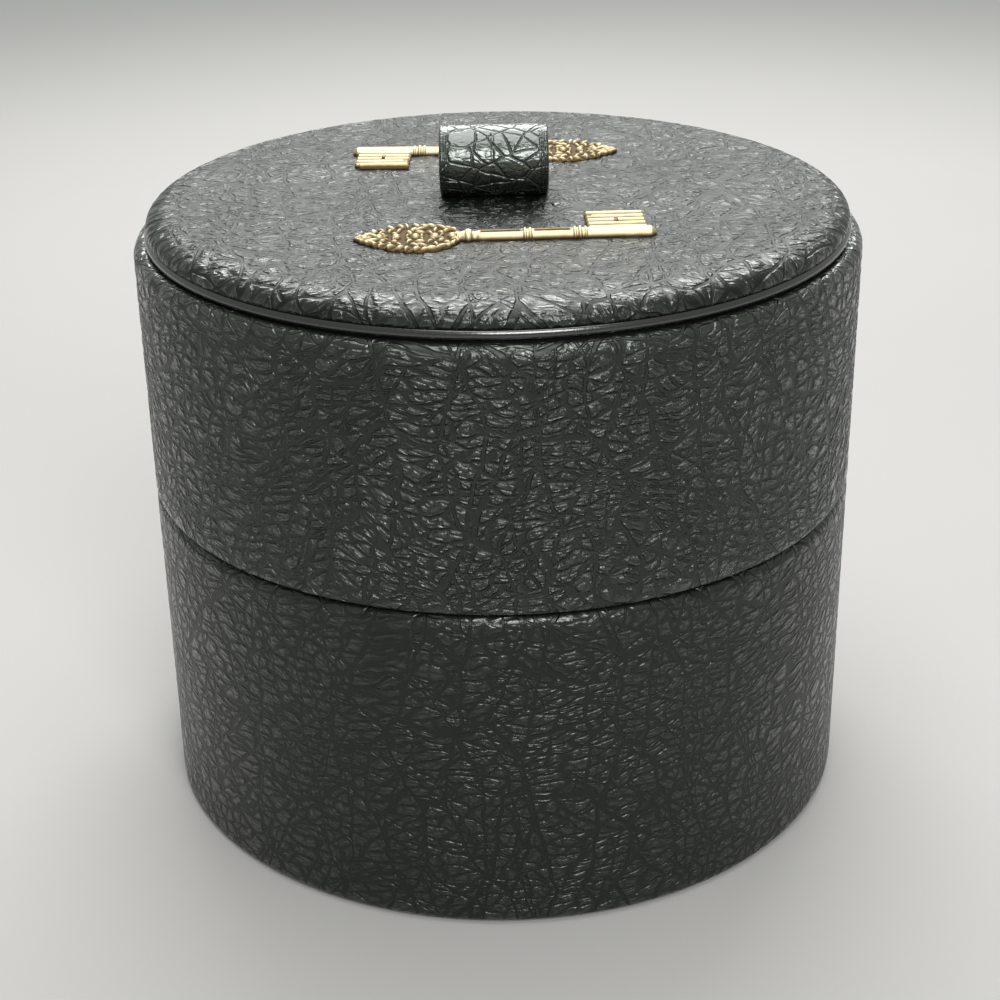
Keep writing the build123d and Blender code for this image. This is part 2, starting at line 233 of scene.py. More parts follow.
# How calm the grain is on the rims, and how much of the first net calm takes away
rim_calm, net_calm = 0.8, 0.8


def plate_points(column, row):
    """Where each cell of the net has its plate's middle: two shares from zero to one,
    hashed from the cell's column and row."""
    x = column.astype(np.float32).view(np.uint32)
    y = row.astype(np.float32).view(np.uint32)
    shares = []
    for count, last in ((2, 0), (3, np.float32(1).view(np.uint32))):
        start = np.uint32((0xDEADBEEF + (count << 2) + 13) & 0xFFFFFFFF)
        a, b, c = x + start, y + start, np.full_like(x, start) + np.uint32(last)
        for one, two, three in ((14, 11, 25), (16, 4, 14)):
            c = (c ^ b) - ((b << np.uint32(one)) | (b >> np.uint32(32 - one)))
            a = (a ^ c) - ((c << np.uint32(two)) | (c >> np.uint32(32 - two)))
            b = (b ^ a) - ((a << np.uint32(three)) | (a >> np.uint32(32 - three)))
        c = (c ^ b) - ((b << np.uint32(24)) | (b >> np.uint32(8)))
        shares.append(c / float(0xFFFFFFFF))
    return shares


def crease_distance(x, y):
    """Distance to the nearest border between plates, in plates: the plate whose middle
    is nearest is found, then the least distance to its halving lines with the rest."""
    column, row = np.floor(x), np.floor(y)
    across, along = [], []
    for j in (-1, 0, 1):
        for i in (-1, 0, 1):
            share_x, share_y = plate_points(column + i, row + j)
            across.append(column + i + share_x - x)
            along.append(row + j + share_y - y)
    across, along = np.array(across), np.array(along)
    own = np.argmin(across**2 + along**2, axis=0)[None]
    own_x = np.take_along_axis(across, own, 0)
    own_y = np.take_along_axis(along, own, 0)
    step_x, step_y = across - own_x, along - own_y
    step = np.hypot(step_x, step_y)
    halfway = ((own_x + across) * step_x + (own_y + along) * step_y) / 2
    return np.where(step > 0.01, halfway / np.maximum(step, 0.01), 9.0).min(0)


def net_share(grain, index, net):
    """Height share of one net: nought in its furrows, one on its plates, and a smooth
    step of the distance to the plate's border in between."""
    width, height, turn, furrow, shoulder = net
    x, y = grain[..., 0] - net_shift[0] * index, grain[..., 1] - net_shift[1] * index
    cosine, sine = np.cos(radians(turn)), np.sin(radians(turn))
    share = crease_distance((x * cosine + y * sine) / width, (y * cosine - x * sine) / height)
    share = np.clip((share - furrow) / shoulder, 0, 1)
    return share * share * (3 - 2 * share)


def grain_relief(grain, nets, depth):
    """Height in millimetres of the grain above its furrows: the lowest of the nets' shares
    times the depth, with shoulders widened to what the mesh can carry."""
    eased = [(*net[:4], net[4] * shoulder_ease) for net in nets]
    return depth * np.min([net_share(grain, i, net) for i, net in enumerate(eased)], 0)


def pulled(grain, seed, amount=1.6):
    """Grain coordinates pulled about as hide is: each is shifted by a sum of sine waves
    of seeded direction and phase, six of 14 to 60 mm and eight of 3 to 9 mm."""
    dice = np.random.default_rng(seed)
    shifts = np.zeros_like(grain)
    for waves, shortest, longest, share in ((6, 14, 60, 1.0), (8, 3, 9, 0.14)):
        for _ in range(waves):
            length = dice.uniform(shortest, longest)
            heading, phase, push = dice.uniform(0, tau, 3)
            wave = grain[..., 0] * np.cos(heading) + grain[..., 1] * np.sin(heading)
            size = amount * share * length / longest * np.sin(tau * wave / length + phase)
            shifts[..., 0] += size * np.cos(push)
            shifts[..., 1] += size * np.sin(push)
    return grain + shifts


def grained_leather(name, nets, depth, furrow_shade, plate, rough, wax, fine, gloss=0.35):
    """Creased leather. The nets of grain_relief and the fine wrinkles on the plates give
    the bump, the gloss, which is duller in furrows, and a painted shade: the furrows
    take the darker furrow colour and the bottoms of the wrinkles go near black.
    rough is the plates' roughness, wax the weight of the polish on them, fine the depth
    share of their wrinkles and gloss the specular level. Where the hide is drawn over an
    edge, the attribute calm takes away the wrinkles and most of the first net."""
    material, tree = new_material(name)
    grain = add(tree, "UVMap", uv_map="grain")
    shares = []
    for index, (width, height, turn, furrow, shoulder) in enumerate([*nets, wrinkle_net]):
        place = {
            "Vector": grain,
            "Location": (net_shift[0] * index, net_shift[1] * index, 0),
            "Rotation": (0, 0, radians(turn)),
            "Scale": (width, height, 1),
        }
        laid = add(tree, "Mapping", place, vector_type="TEXTURE")
        border = add(
            tree, "TexVoronoi", {"Vector": laid, "Scale": 1.0},
            voronoi_dimensions="2D", feature="DISTANCE_TO_EDGE",
        )
        span = {"Value": border, "From Min": furrow, "From Max": furrow + shoulder}
        shares.append(add(tree, "MapRange", span, interpolation_type="SMOOTHSTEP"))
    calm = add(tree, "Attribute", attribute_name="calm").outputs["Fac"]
    drawn = add(tree, "Math", {0: calm, 1: net_calm}, operation="MULTIPLY")
    relief = add(tree, "MapRange", {"Value": shares[0], "To Min": drawn})
    for share in shares[1:-1]:
        relief = add(tree, "Math", {0: relief, 1: share}, operation="MINIMUM")
    least = add(tree, "Math", {0: calm, 1: fine, 2: 1.0 - fine}, operation="MULTIPLY_ADD")
    worn = add(tree, "MapRange", {"Value": shares[-1], "To Min": least})
    flat = add(tree, "Math", {0: calm, 1: shares[-1]}, operation="MAXIMUM")
    # Painted shadow: the plates' tone goes near black at the bottom of the wrinkles, where shade
    # falls
    tone = add(
        tree, "Mix", {"Factor": flat, 6: linear(wrinkle_shadow), 7: linear(plate)}, data_type="RGBA"
    )
    # Painted shade: the furrows take the darker furrow colour, where shade falls between the plates
    colour = add(
        tree, "Mix", {"Factor": relief, 6: linear(furrow_shade), 7: tone.outputs[2]}, data_type="RGBA"
    )
    relief = add(tree, "Math", {0: relief, 1: worn}, operation="MULTIPLY")
    pores = add(tree, "TexNoise", {"Vector": grain, "Scale": 2.2, "Detail": 2.0})
    coarse = add(tree, "Math", {0: 1.0, 1: least}, operation="SUBTRACT")
    height = add(tree, "Math", {0: pores, 1: coarse, 2: relief}, operation="MULTIPLY_ADD")
    rise = {"Value": relief, "From Max": polished}
    dull = add(tree, "MapRange", {**rise, "To Min": furrow_rough, "To Max": rough})
    polish = add(tree, "MapRange", {**rise, "To Min": wax * furrow_wax, "To Max": wax})
    bump = add(tree, "Bump", {"Height": height, "Strength": 1.0, "Distance": depth / 1000})
    finish_material(
        tree, Base_Color=colour.outputs[2], Roughness=dull, Normal=bump,
        Specular_IOR_Level=gloss, Specular_Tint=linear("#ecfbee"),
        Coat_Weight=polish, Coat_Roughness=0.16, Coat_Normal=bump,
    )
    return material


def put_together(name, points, faces, grain=None):
    """A smooth mesh object from points in millimetres, faces and, if the piece has any,
    the grain coordinates of each corner of its faces."""
    mesh = bpy.data.meshes.new(name)
    mesh.from_pydata(points / 1000, [], faces)
    if grain is not None:
        layer = mesh.uv_layers.new(name="grain")
        layer.uv.foreach_set("vector", grain.astype(np.float32).ravel())
    mesh.shade_smooth()
    mesh.update()
    made = bpy.data.objects.new(name, mesh)
    bpy.context.scene.collection.objects.link(made)
    return made


def set_shares(made, name, values):
    """Writes an attribute of one number at each point of a mesh, from nought to one."""
    layer = made.data.attributes.new(name, "FLOAT", "POINT")
    layer.data.foreach_set("value", np.asarray(values, np.float32).ravel())


def cell_corners(rows, columns):
    """The row and the column of the four corners of each cell of a grid, round the cell."""
    i, j = np.meshgrid(np.arange(rows), np.arange(columns), indexing="ij")
    return (i, j), (i + 1, j), (i + 1, j + 1), (i, j + 1)


def turned_band(name, radius, height, turn, grain):
    """A closed band turned round the Z axis, from the radius and the height at each step
    of the turn, one a row, and of the profile, one a column. grain has one row and one
    column more, for the corners where the band meets itself."""
    around, steps = radius.shape
    height = np.broadcast_to(height, radius.shape)
    points = np.stack([radius * np.cos(turn), radius * np.sin(turn), height], -1)
    cells = cell_corners(around, steps)
    faces = np.stack([i % around * steps + j % steps for i, j in cells], -1)
    corners = np.stack([grain[cell] for cell in cells], 2)
    return put_together(name, points.reshape(-1, 3), faces.reshape(-1, 4).tolist(), corners)


def turned_skin(name, profile, lengths, relief_share, around, seed, depth=upper_mesh_depth):
    """A skin turned round the Z axis. The closed profile of radius and height is carried
    round in equal steps and pushed out along its normal by the grain's relief, which
    fades by relief_share. The grain runs along the turn and up the profile. At the back
    the skin dips under its own skived end, which makes the step of the lapped joint."""
    outer = profile[:, 0].max()
    run = np.linspace(0, tau * outer, around + 1)[:, None]
    grain = pulled(np.stack(np.broadcast_arrays(run, lengths), -1), seed)
    relief = grain_relief(grain[:-1, :-1], hide_nets, depth)
    lift = (relief - depth) * mesh_relief * relief_share
    ahead = np.roll(profile, -1, 0) - np.roll(profile, 1, 0)
    normal = np.stack([ahead[:, 1], -ahead[:, 0]], 1) / np.hypot(*ahead.T)[:, None]
    radius = profile[:, 0] + normal[:, 0] * lift
    height = profile[:, 1] + normal[:, 1] * lift
    turn = np.linspace(0, tau, around + 1)[:-1, None] + tau / 4
    before_lap = (tau + tau / 4 - turn) * outer
    dip = lap_step * np.clip(1 - before_lap / lap_width, 0, 1)
    radius = radius - dip * (profile[:, 0] > outer - lap_step)
    made = turned_band(name, radius, height, turn, grain)
    drawn = rim_calm * (1 - relief_share) ** 2 * (profile[:, 0] > turned_inner)
    set_shares(made, "calm", np.broadcast_to(drawn, radius.shape))
    return made


def length_walked(points):
    """The length walked along a line of points, at each of them."""
    return np.concatenate([[0], np.cumsum(np.hypot(*np.diff(points, axis=0).T))])


def along_profile(corners, rounds, spacings):
    """Walks round a closed profile of corners with rounded turns. Each straight run and
    each round is cut into equal steps of its own spacing. Returns the points, and the
    length walked at each, with one more at the end."""
    corners = np.array(corners, float)
    points = []
    for index, (corner, reach, spacing) in enumerate(zip(corners, rounds, spacings)):
        following = (index + 1) % len(corners)
        back, forth = corners[index - 1] - corner, corners[following] - corner
        back, forth = back / np.hypot(*back), forth / np.hypot(*forth)
        start, end = corner + back * reach, corner + forth * reach
        if reach > 0:
            count = max(3, int(round(reach * tau / 4 / min(spacing, reach / 2))))
            share = np.linspace(0, 1, count, endpoint=False)[:, None] * tau / 4
            centre = start + end - corner
            first, second = start - centre, end - centre
            points.append(centre + first * np.cos(share) + second * np.sin(share))
        finish = corners[following] - forth * rounds[following]
        count = max(1, int(round(np.hypot(*(finish - end)) / spacing)))
        points.append(end + (finish - end) * np.linspace(0, 1, count, endpoint=False)[:, None])
    points = np.concatenate(points)
    return points, length_walked(np.concatenate([points, points[:1]]))


def rim_turned_in(rim):
    """Corners of a cover's profile at its rim: in over it and down inside the tier, then
    back up and out along the cover's other face."""
    return [
        (body_radius, rim),
        (turned_inner, rim),
        (turned_inner, rim - turn_depth),
        (turned_inner + turned_edge, rim - turn_depth),
        (turned_inner + turned_edge, rim - skin),
        (body_radius - skin, rim - skin),
    ]


def outside_share(profile, low, high):
    """Share of the relief at each point of a cover's profile: all of it on the outside,
    fading towards the edges at the heights low and high, and none elsewhere."""
    share = np.clip((high - profile[:, 1]) / edge_ease, 0, 1)
    share *= np.clip((profile[:, 1] - low) / edge_ease, 0, 1)
    return np.where(profile[:, 0] > body_radius - skin / 2, share, 0.0)


# In each grained leather the first colour is the painted shade of its furrows and the second the
# plates' own tone
upper_leather = grained_leather(
    "black_creased_leather", hide_nets, upper_depth, "#111511", "#22271f",
    rough=0.25, wax=0.9, fine=0.5, gloss=0.45,
)
lower_leather = grained_leather(
    "black_flatter_leather", hide_nets, lower_depth, "#0f120f", "#1e221b",
    rough=0.28, wax=0.7, fine=0.5,
)

# Lower cover: from under the foot, up the outside, over the rim and down inside. At each
# corner, rounds has the radius of its turn and spacings the mesh's steps from there on.
foot_edge = body_radius - foot_turn
corners = [
    (foot_edge, foot_height),
    (body_radius, foot_height),
    *rim_turned_in(lower_rim),
    (body_radius - skin, foot_height + foot_skin),
    (foot_edge, foot_height + foot_skin),
]
rounds = [0, 1.6, 2.7, 1.1, 0, 0, 0, 1.7, 0.6, 0]
spacings = [1.6, 0.6, 0.6, 1.5, 0.5, 4.0, 4.0, 8.0, 4.0, 0.6]
profile, lengths = along_profile(corners, rounds, spacings)
share = outside_share(profile, foot_height, lower_rim)
lower_skin = turned_skin(
    "lower_skin", profile, lengths, share, around=570, seed=11, depth=lower_depth
)
lower_skin.data.materials.append(lower_leather)
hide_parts("lower_cover")
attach(lower_skin, "lower_tier")

# Upper cover: from the recess, round the foot, up the outside, over the rim and down inside
corners = [
    (turned_inner, upper_bottom),
    (body_radius, upper_bottom),
    *rim_turned_in(upper_rim),
    (body_radius - skin, upper_bottom + skin),
    (turned_inner + turned_edge, upper_bottom + skin),
    (turned_inner + turned_edge, recess_top),
    (turned_inner, recess_top),
]
rounds = [1.1, 1.3, 2.7, 1.1, 0, 0, 0, 1.7, 0.3, 0, 0, 0]
spacings = [1.0, 0.55, 0.6, 1.5, 0.5, 4.0, 4.0, 8.0, 4.0, 4.0, 0.5, 2.0]
profile, lengths = along_profile(corners, rounds, spacings)
share = outside_share(profile, upper_bottom, upper_rim)
upper_skin = turned_skin("upper_skin", profile, lengths, share, around=640, seed=23)
upper_skin.data.materials.append(upper_leather)
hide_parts("upper_cover")
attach(upper_skin, "upper_tier")


# Lid top
# The same creased calf, stretched over wadding on a card and turned under its edge. The
# pad is full, with a soft shoulder, and is glued down on the flange.

lid_flat, lid_foot, lid_reach = 142.6, 137.95, 79.4
shoulder_run, shoulder_drop = 8.5, 3.8
shoulder_calm, calm_drop = 0.5, 0.4
foot_ease = 3.0
lid_grid = 289
lid_depth = 0.36
lid_nets = [
    (6.2, 3.4, 5.0, 0.045, 0.16),
    (9.5, 16.0, 3.0, 0.026, 0.03),
    (14.0, 20.0, 60.0, 0.01, 0.02),
    (17.0, 24.0, -52.0, 0.01, 0.018),
]


def bent(reach, base, run, drop, way=1, count=12):
    """A face's profile of radius and height from its middle: flat, then a quarter ellipse
    that turns away to the rim. way is 1 where it looks up and -1 where it looks down."""
    bend = np.linspace(0, tau / 4, count)
    radius = reach - run + run * np.sin(bend)
    height = base - way * drop * (1 - np.cos(bend))
    return [(0, base), *zip(radius.tolist(), height.tolist())]


def at_share(profile, share):
    """Radius and height at a share of a profile's length, and the length walked there."""
    profile = np.array(profile, float)
    walked = length_walked(profile)
    walk = share * walked[-1]
    return np.interp(walk, walked, profile[:, 0]), np.interp(walk, walked, profile[:, 1]), walk


def round_grid(count):
    """A square grid bent into a disc: each square ring becomes a circle of the same
    share of the radius, and its corners spread evenly round it."""
    a, b = np.meshgrid(np.linspace(-1, 1, count), np.linspace(-1, 1, count), indexing="ij")
    wide = np.abs(a) >= np.abs(b)
    reach = np.where(wide, a, b)
    ratio = np.where(wide, b, a) / np.where(reach == 0, 1, reach)
    turn = np.where(wide, ratio * tau / 8, tau / 4 - ratio * tau / 8)
    return reach * np.cos(turn), reach * np.sin(turn)


disc_x, disc_y = round_grid(lid_grid)
share = np.hypot(disc_x, disc_y)
profile = bent(lid_reach, lid_flat, shoulder_run, shoulder_drop, count=200)
radius, height, walked = at_share([*profile, (lid_reach, lid_foot)], share)
near = np.maximum(share, 1e-6)
run = np.stack([disc_x, disc_y], -1) / near[..., None] * walked[..., None]
grain = pulled(run, seed=5)
relief = grain_relief(grain, lid_nets, lid_depth)
lift = (relief - lid_depth) * mesh_relief * np.clip((height - lid_foot) / foot_ease, 0, 1)
outward = np.clip((radius - (lid_reach - shoulder_run)) / shoulder_run, 0, 1) ** 2
radius = radius + lift * outward
height = height + lift * (1 - outward)
top = np.stack([disc_x / near * radius, disc_y / near * radius, height], -1)
cells = cell_corners(lid_grid - 1, lid_grid - 1)
faces = np.stack([i * lid_grid + j for i, j in cells], -1).reshape(-1, 4)
corners = np.stack([grain[cell] for cell in cells], 2)

# The turned-under edge and the flesh side: radius and height of rings that go on from
# the skin's rim, in under the pad and back out, then up over its inside to the middle
inner_rings = [
    (68.4, lid_foot), (68.4, 138.5), (78.4, 138.5), (78.35, 138.9), (77.0, 140.6),
    (74.0, 141.4), (71.0, 141.6), (45.0, 141.6), (20.0, 141.6), (0.01, 141.6),
]
side = np.arange(lid_grid - 1)
last = lid_grid - 1
rim = np.concatenate(
    [side * lid_grid, last * lid_grid + side, (last - side) * lid_grid + last, last - side]
)
rim_turn = np.arctan2(top.reshape(-1, 3)[rim, 1], top.reshape(-1, 3)[rim, 0])
rings = [
    np.stack([r * np.cos(rim_turn), r * np.sin(rim_turn), np.full(len(rim), z)], -1)
    for r, z in inner_rings
]
points = np.concatenate([top.reshape(-1, 3), *rings])
loops = [rim] + [lid_grid**2 + np.arange(len(rim)) + k * len(rim) for k in range(len(rings))]
ring_faces = [
    np.stack([a, b, np.roll(b, -1), np.roll(a, -1)], -1) for a, b in zip(loops, loops[1:])
]
middle = loops[-1][::-1]
faces = np.concatenate([faces, *ring_faces]).tolist() + [middle.tolist()]
flesh = [points[face][..., :2].reshape(-1, 2) for face in [*ring_faces, middle]]
corners = np.concatenate([corners.reshape(-1, 2), *flesh])
lid_skin = put_together("lid_skin", points, faces, corners)
calm = shoulder_calm * np.clip((lid_flat - 0.02 - top[..., 2]) / calm_drop, 0, 1)
set_shares(lid_skin, "calm", np.pad(calm.ravel(), (0, len(points) - calm.size)))
stretched_leather = grained_leather(
    "stretched_creased_leather", lid_nets, lid_depth, "#080a08", "#20261f",
    rough=0.23, wax=1.0, fine=0.6, gloss=0.3,
)
lid_skin.data.materials.append(stretched_leather)
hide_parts("lid_cover")
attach(lid_skin, "lid")


# Pull loop
# A strap of the same calf, folded double and edged with a blind crease, rolled into a
# barrel. Its skived ends go down together through a slit in the pad.

loop_middle = np.array([-0.6, -2.0, 149.95])
loop_radius, loop_steps = 8.0, 230
strap_thick, strap_width, edge_reach = 2.2, 24.4, 0.6
leg_thick, leg_points, leg_start, leg_run = 0.95, 4, 7.4, 3.0
strap_nets = [(5.6, 3.6, 3.0, 0.005, 0.055), (12.0, 9.0, 14.0, 0.003, 0.02)]
strap_depth = 0.12

# Where in the hide the strap is cut, each blind crease's distance from the strap's edge,
# and the half width and depth of all
strap_cut = (140, 60)
blind_creases = (1.05, 1.8)
crease_width, crease_depth = 0.17, 0.24


def strap_walk(count):
    """The strap's middle line in the Y-Z plane, its outward normal, thickness and length:
    up one leg, round the barrel's circle from its foot back to its foot, down the other."""
    turn = np.radians(np.linspace(262, -82, count))
    circle = np.stack([np.cos(turn), np.sin(turn)], -1)
    down = np.linspace(1, 0.12, leg_points)[:, None]
    legs = []
    for side, order in ((-1, down), (1, down[::-1])):
        beside = np.full_like(order, side * leg_thick * 0.5)
        drop = np.concatenate([beside, -leg_start - order * leg_run], 1)
        legs.append((drop, np.tile([float(side), 0.0], (leg_points, 1))))
    round_line = circle * (loop_radius - strap_thick / 2)
    points = np.concatenate([legs[0][0], round_line, legs[1][0]])
    normals = np.concatenate([legs[0][1], circle, legs[1][1]])
    thick = np.full(count + 2 * leg_points, strap_thick)
    thick[:leg_points] = leg_thick
    thick[-leg_points:] = leg_thick
    thick = np.convolve(np.pad(thick, 2, mode="edge"), np.ones(5) / 5, "valid")
    return points, normals, thick, length_walked(points)


across_steps, under_steps, edge_steps = 130, 8, 6
edge_turn = np.linspace(0, tau / 2, edge_steps + 2)[1:-1]
half = strap_width / 2
flat = half - edge_reach
section_x = np.concatenate([
    np.linspace(-1, 1, across_steps) * flat,
    flat + edge_reach * np.sin(edge_turn),
    np.linspace(1, -1, under_steps) * flat,
    -flat - edge_reach * np.sin(edge_turn),
])
section_lift = np.concatenate(
    [np.ones(across_steps), np.cos(edge_turn), -np.ones(under_steps), -np.cos(edge_turn)]
)
flat_share = np.pad(np.ones(across_steps), (0, under_steps + 2 * edge_steps))
walk_points, walk_normals, thick, walk = strap_walk(loop_steps)
grain = np.stack(np.broadcast_arrays(section_x, walk[:, None]), -1) + strap_cut
grain = pulled(grain, seed=8, amount=0.8)
relief = grain_relief(grain, strap_nets, strap_depth)

# A soft crease along the strap's middle and the blind ones near its edges, where the
# grain has been pressed flat
groove = 0.6 * np.exp(-(((section_x + 0.3) / 0.3) ** 2))
for inset in blind_creases:
    away = np.abs(section_x) - (half - inset)
    groove = groove + np.exp(-((away / crease_width) ** 2))
plain = np.clip((half - blind_creases[1] - np.abs(section_x)) / 0.3, 0, 1)
lift = ((relief - strap_depth) * plain - crease_depth * groove) * flat_share
rise = section_lift[None, :] * thick[:, None] / 2 + lift
points = np.stack([
    np.broadcast_to(section_x, rise.shape),
    walk_points[:, 0, None] + walk_normals[:, 0, None] * rise,
    walk_points[:, 1, None] + walk_normals[:, 1, None] * rise,
], -1) + loop_middle
rows, columns = rise.shape
cells = [(i, j % columns) for i, j in cell_corners(rows - 1, columns)]
cells = [cells[0], *cells[:0:-1]]
faces = np.stack([i * columns + j for i, j in cells], -1).reshape(-1, 4)
quads = np.stack([grain[cell] for cell in cells], 2).reshape(-1, 2)
ends = [np.arange(columns)[::-1], (rows - 1) * columns + np.arange(columns)]
corners = np.concatenate([quads] + [grain.reshape(-1, 2)[end] for end in ends])
faces = faces.tolist() + [end.tolist() for end in ends]
pull = put_together("pull_loop_strap", points.reshape(-1, 3), faces, corners)
strap_leather = grained_leather(
    "polished_strap_leather", strap_nets, strap_depth, "#101210", "#1c1f1c",
    rough=0.26, wax=1.0, fine=0.3, gloss=0.9,
)
pull.data.materials.append(strap_leather)
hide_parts("pull_loop")
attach(pull, "lid")


# Keys
# Two cast brass keys with a soft gilt finish, flat at the back, pinned through the pad.
# The bow is openwork of rolled leaves, the stem is turned and the bit has ward ridges.

# Gilding stays bright on what stands out and tarnishes brown in what is sunk, as the
# attribute shine says; on the stem it also holds a painted shadow along each flute's far
# edge. Fine pits come from the sand that the brass was cast in.
brass, tree = new_material("gilt_cast_brass")
place = add(tree, "TexCoord").outputs["Object"]
shine = add(tree, "Attribute", attribute_name="shine").outputs["Fac"]
cloud = add(tree, "TexNoise", {"Vector": place, "Scale": 420.0, "Detail": 4.0})
low = add(tree, "Math", {0: shine, 1: 1.15, 2: -0.3}, operation="MULTIPLY_ADD")
bright = add(tree, "Math", {0: cloud, 1: 0.4, 2: low}, operation="MULTIPLY_ADD", use_clamp=True)
rough = add(tree, "MapRange", {"Value": bright, "To Min": 0.7, "To Max": 0.5})
pits = add(tree, "TexNoise", {"Vector": place, "Scale": 2600.0, "Detail": 2.0})
toned_finish(
    tree, bright, "#5a4a32", "#cfc09a", pits,
    strength=0.5, depth=0.0001, Metallic=1.0, Roughness=rough,
)

# Sizes in millimetres: x runs from the bow's tip to the stem's end, y to the side that
# the bit is on, and heights stand above the seat on the lid
key_seat, key_sunk = 142.65, 0.3
key_length, bow_length, bow_width = 64.0, 22.6, 18.3
key_turn, key_shift, key_apart = 2.0, 2.2, 33.8


def relief_plate(x, y, height, inside, shine):
    """A closed plate over a grid of places x, y. Its cells inside get a face at their
    height, one at the seat below, and a wall at each border with a cell left out. Each
    point holds its place, its height and its shine, which is nought at the seat."""
    top = np.stack([x, y, height, np.clip(shine, 0, 1)], -1).reshape(-1, 4)
    seat = np.stack([x, y, np.full_like(x, -key_sunk), np.zeros_like(x)], -1).reshape(-1, 4)
    index = np.arange(x.size).reshape(x.shape)
    a, b = index[:-1, :-1], index[1:, :-1]
    c, d = index[1:, 1:], index[:-1, 1:]
    faces = [np.stack([a, b, c, d], -1)[inside], (np.stack([d, c, b, a], -1) + x.size)[inside]]
    padded = np.pad(inside, 1)
    rows, columns = inside.shape
    for down, right, one, two in ((0, -1, a, b), (1, 0, b, c), (0, 1, c, d), (-1, 0, d, a)):
        beyond = padded[1 + down:1 + down + rows, 1 + right:1 + right + columns]
        walls = np.stack([one, one + x.size, two + x.size, two], -1)
        faces.append(walls[inside & ~beyond])
    used, faces = np.unique(np.concatenate(faces), return_inverse=True)
    return np.concatenate([top, seat])[used], faces.reshape(-1, 4)


def bow_half_width(along):
    """Half width of the bow at a share of its length: a leaf, pointed at the tip and
    round at the stem, with seven lobes on each side."""
    widest = 0.6
    leaf = np.where(
        along < widest,
        np.sin(np.clip(along / widest, 0, 1) * tau / 4) ** 0.85,
        np.sqrt(np.clip(1 - ((along - widest) / 0.41) ** 2, 0, 1)),
    )
    lobes = 0.07 * np.abs(np.sin(along * tau * 3.6)) - 0.05
    return np.maximum(bow_width / 2 * leaf * (1 + lobes), 0.35)


def bow_plate():
    """The bow as a relief: the highest of many small leaves and beads over a sunk web.
    A leaf is half an ellipsoid that leans out and towards the tip, and narrows there."""
    rows, columns = 180, 131
    web, bead = 0.22, 1.25
    share = np.linspace(0.0, 0.995, rows)[:, None]
    half = bow_half_width(share)
    x = np.broadcast_to(share * bow_length, (rows, columns))
    y = np.linspace(-1, 1, columns)[None, :] * half
    side = np.abs(y)
    height = np.full(y.shape, web)
    dice = np.random.default_rng(17)
    # Four rows of leaves: their place as a share of the half width, size and number
    leaf_rows = ((0.88, 1.0, 13), (0.6, 0.85, 10), (0.33, 0.8, 9), (0.12, 0.6, 9))
    for row, (place, size, count) in enumerate(leaf_rows):
        for step in range(count):
            at = (step + 0.5 + dice.uniform(-0.25, 0.25)) / count
            reach = float(bow_half_width(np.array(at))) * place
            lean = radians(dice.uniform(5, 75) if row % 2 == 0 else dice.uniform(90, 175))
            long, wide = size * dice.uniform(1.1, 2.1), size * dice.uniform(0.4, 0.8)
            off_x, off_y = x - at * bow_length, side - reach
            run = -off_x * np.cos(lean) + off_y * np.sin(lean)
            aside = off_x * np.sin(lean) + off_y * np.cos(lean)
            taper = wide * (1 - 0.45 * np.clip(run / long, -1, 1))
            swell = 1 - (run / long) ** 2 - (aside / taper) ** 2
            tall = 0.5 + 0.6 * size * dice.uniform(0.5, 1.0)
            height = np.maximum(height, tall * np.sqrt(np.clip(swell, 0, 1)))
    for at in (0.1, 0.24, 0.4, 0.58, 0.76, 0.92):
        swell = 1 - ((x - at * bow_length) / 1.1) ** 2 - (y / 0.7) ** 2
        height = np.maximum(height, bead * np.sqrt(np.clip(swell, 0, 1)))
    edge = np.clip((half - side) / 0.35, 0, 1)
    height = height * (0.35 + 0.65 * edge)
    inside = np.ones((rows - 1, columns - 1), bool)
    return relief_plate(x, y, height, inside, (height - 0.25) / 0.7)


def bit_plate():
    """The bit as a relief: a plate with five rounded lengthwise ward ridges, two notches in
    the edge away from the stem's end and a cross-shaped hole."""
    start, end, root, tip = 49.6, 62.4, 1.2, 14.0
    hole_x, hole_y, notches = 56.0, 6.6, (6.2, 10.2)
    x, y = np.meshgrid(np.linspace(start, end, 97), np.linspace(root, tip, 97), indexing="ij")
    ridge = np.abs(np.sin((y - root) / (tip - root) * tau / 2 * 5))
    edge = np.minimum(np.minimum(x - start, end - x), tip - y)
    height = (0.3 + 0.85 * ridge**1.1) * (0.6 + 0.4 * np.clip(edge / 0.4, 0, 1))
    x_mid, y_mid = (x[1:, 1:] + x[:-1, :-1]) / 2, (y[1:, 1:] + y[:-1, :-1]) / 2
    off_x, off_y = np.abs(x_mid - hole_x), np.abs(y_mid - hole_y)
    cross = ((off_x < 0.45) & (off_y < 1.7)) | ((off_x < 1.5) & (off_y < 0.6))
    at_notch = [np.abs(y_mid - place) < 0.5 for place in notches]
    notch = (x_mid < start + 1.3) & np.any(at_notch, 0)
    corner = (x_mid > end - 1.2) & (y_mid > tip - 1.4)
    return relief_plate(x, y, height, ~(cross | notch | corner), ridge * 1.4 - 0.4)


